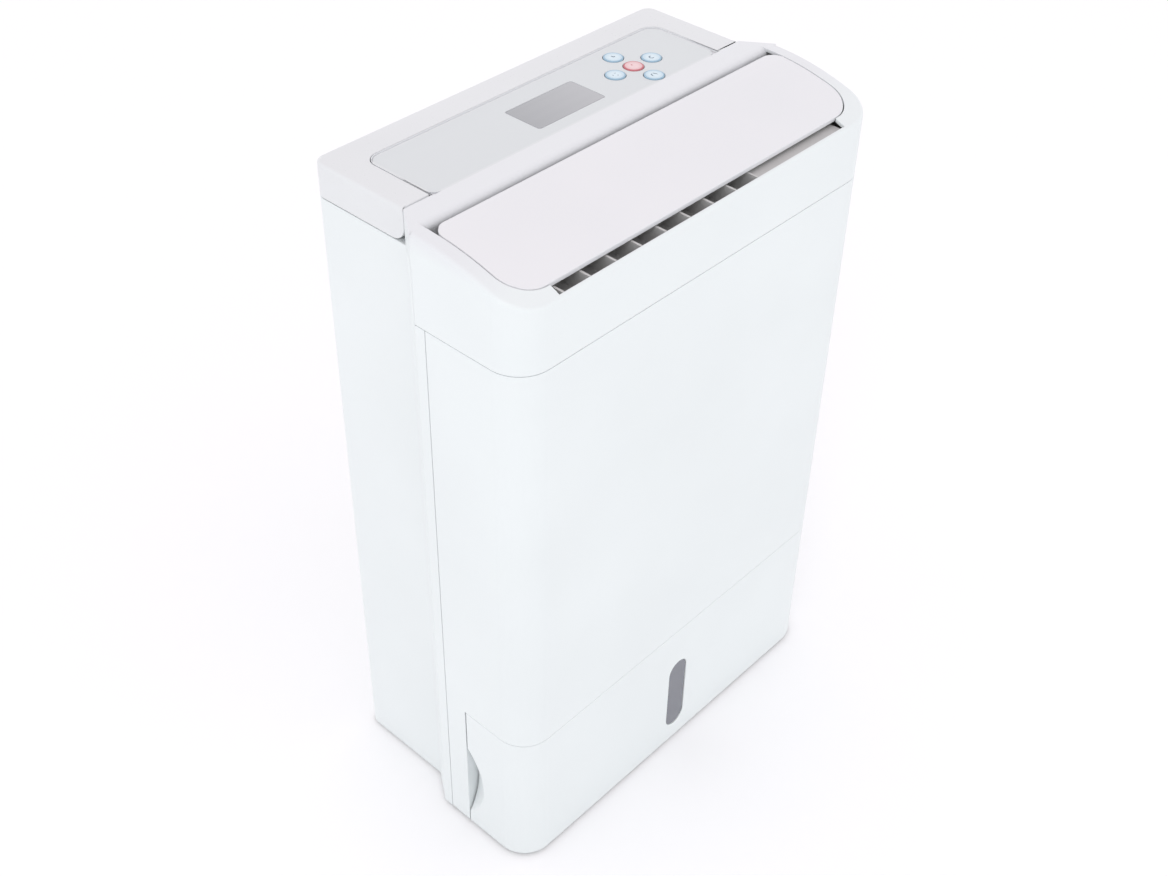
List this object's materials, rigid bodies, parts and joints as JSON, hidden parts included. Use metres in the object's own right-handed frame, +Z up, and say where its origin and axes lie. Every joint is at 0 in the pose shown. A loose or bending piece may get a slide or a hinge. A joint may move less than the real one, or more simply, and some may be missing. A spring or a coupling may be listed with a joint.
{
  "type": "dehumidifier",
  "caption": "Slim free-standing desiccant dehumidifier with a fold-flat carry handle, keyed control deck, motorised louvre flap, slot outlet, rear inlet filter and pull-out water tank.",
  "frame": {"origin": "on the floor, under the middle of the casing's outline", "axes": "+Z up; -Y is the front with the tank and the outlet slot; +X is to the right seen from the front"},
  "size_m": [0.316, 0.178, 0.48],
  "materials": {
    "shell_white": "moulded white ABS, fine satin texture",
    "deck_white": "moulded white ABS, satin",
    "fascia_grey": "printed polycarbonate overlay, satin",
    "key_red": "translucent red key, satin",
    "key_blue": "pale blue key, satin",
    "display_glass": "clear acrylic, polished",
    "window_smoke": "smoked translucent polystyrene",
    "rubber_grey": "moulded rubber",
    "dark_plastic": "moulded black plastic",
    "grey_plastic": "moulded grey plastic",
    "tank_clear": "moulded white plastic",
    "steel": "zinc plated",
    "alloy": "rolled sheet",
    "rotor_ceramic": "honeycomb paper coated with zeolite",
    "board_green": "solder-masked board",
    "mesh_grey": "woven nylon filter mesh"
  },
  "bodies": {
    "casing": {"rear_shell": "shell_white", "front_panel": "shell_white", "top_cover": "deck_white", "base_tray": "grey_plastic", "rubber_feet": "rubber_grey", "case_screws": "steel", "handle_pins": "steel", "control_fascia": "fascia_grey", "display_window": "display_glass", "display_module": "dark_plastic", "control_board": "board_green", "key_switches": "dark_plastic", "flap_pins": "steel", "swing_motor": "steel", "louvre_tray": "grey_plastic", "outlet_grille": "grey_plastic", "fan_scroll": "grey_plastic", "process_motor": "steel", "chassis_plate": "grey_plastic", "rotor_frame": "grey_plastic", "rotor_axle": "steel", "rotor_motor": "steel", "heater_box": "alloy", "heater_element": "steel", "thermal_cutout": "steel", "regen_scroll": "dark_plastic", "regen_motor": "steel", "regen_duct": "alloy", "condenser": "grey_plastic", "drip_tray": "grey_plastic", "main_board": "board_green", "tank_switch": "dark_plastic", "tilt_switch": "dark_plastic", "humidity_sensor": "dark_plastic", "cord_gland": "dark_plastic"},
    "handle": {"carry_handle": "shell_white"},
    "louvre": {"louvre_flap": "deck_white"},
    "swing_drive": {"swing_pinion": "grey_plastic"},
    "process_fan": {"process_impeller": "dark_plastic", "fan_shaft": "steel"},
    "regen_fan": {"regen_impeller": "dark_plastic"},
    "rotor": {"rotor_wheel": "rotor_ceramic", "rotor_rim_gear": "dark_plastic"},
    "rotor_drive": {"drive_pinion": "grey_plastic"},
    "power_button": {"power_key": "key_red"},
    "timer_button": {"timer_key": "key_blue"},
    "fan_button": {"fan_key": "key_blue"},
    "swing_button": {"swing_key": "key_blue"},
    "humidity_button": {"humidity_key": "key_blue"},
    "tank_unit": {"tank": "tank_clear", "level_window": "window_smoke", "tank_lid": "grey_plastic", "float_guide": "grey_plastic"},
    "float_unit": {"tank_float": "grey_plastic", "float_magnet": "steel"},
    "filter_unit": {"inlet_grille": "shell_white", "filter_frame": "grey_plastic", "filter_mesh": "mesh_grey"},
    "drain_stopper": {"drain_plug": "dark_plastic"}
  },
  "joints": [
    {"name": "handle_fold", "type": "hinge", "parent": "casing", "child": "handle", "pos_m": [0, 0.024, 0.4756], "axis": [1, 0, 0], "range_deg": [0, 90]},
    {"name": "louvre_swing", "type": "hinge", "parent": "casing", "child": "louvre", "pos_m": [0, -0.018, 0.473], "axis": [-1, 0, 0], "range_deg": [0, 75]},
    {"name": "swing_drive_turn", "type": "hinge", "parent": "casing", "child": "swing_drive", "pos_m": [0.12, -0.018, 0.4602], "axis": [-1, 0, 0], "range_deg": [-125.1, 0.1]},
    {"name": "process_fan_spin", "type": "hinge", "parent": "casing", "child": "process_fan", "pos_m": [-0.038, -0.03, 0.275], "axis": [0, 1, 0], "continuous": true},
    {"name": "regen_fan_spin", "type": "hinge", "parent": "casing", "child": "regen_fan", "pos_m": [0.104, 0.03, 0.152], "axis": [0, 1, 0], "continuous": true},
    {"name": "rotor_spin", "type": "hinge", "parent": "casing", "child": "rotor", "pos_m": [-0.008, 0.047, 0.29], "axis": [0, 1, 0], "continuous": true},
    {"name": "rotor_drive_spin", "type": "hinge", "parent": "casing", "child": "rotor_drive", "pos_m": [0.07134, 0.047, 0.21066], "axis": [0, 1, 0], "continuous": true},
    {"name": "power_press", "type": "slide", "parent": "casing", "child": "power_button", "axis": [0, 0, -1], "range_m": [0, 0.0008], "stiffness_N_per_m": 600, "springref_m": -0.0008},
    {"name": "timer_press", "type": "slide", "parent": "casing", "child": "timer_button", "axis": [0, 0, -1], "range_m": [0, 0.0008], "stiffness_N_per_m": 600, "springref_m": -0.0008},
    {"name": "fan_press", "type": "slide", "parent": "casing", "child": "fan_button", "axis": [0, 0, -1], "range_m": [0, 0.0008], "stiffness_N_per_m": 600, "springref_m": -0.0008},
    {"name": "swing_press", "type": "slide", "parent": "casing", "child": "swing_button", "axis": [0, 0, -1], "range_m": [0, 0.0008], "stiffness_N_per_m": 600, "springref_m": -0.0008},
    {"name": "humidity_press", "type": "slide", "parent": "casing", "child": "humidity_button", "axis": [0, 0, -1], "range_m": [0, 0.0008], "stiffness_N_per_m": 600, "springref_m": -0.0008},
    {"name": "tank_slide", "type": "slide", "parent": "casing", "child": "tank_unit", "axis": [0, -1, 0], "range_m": [0, 0.1]},
    {"name": "float_rise", "type": "slide", "parent": "tank_unit", "child": "float_unit", "axis": [0, 0, 1], "range_m": [0, 0.065]},
    {"name": "filter_slide", "type": "slide", "parent": "casing", "child": "filter_unit", "axis": [0, 1, 0], "range_m": [0, 0.03]},
    {"name": "drain_plug_pull", "type": "slide", "parent": "casing", "child": "drain_stopper", "axis": [0, 1, 0], "range_m": [0, 0.02]}
  ],
  "couplings": [
    {"joint": "swing_drive_turn", "follows": "louvre_swing", "ratio": -1.6667},
    {"joint": "rotor_drive_spin", "follows": "rotor_spin", "ratio": -10}
  ]
}
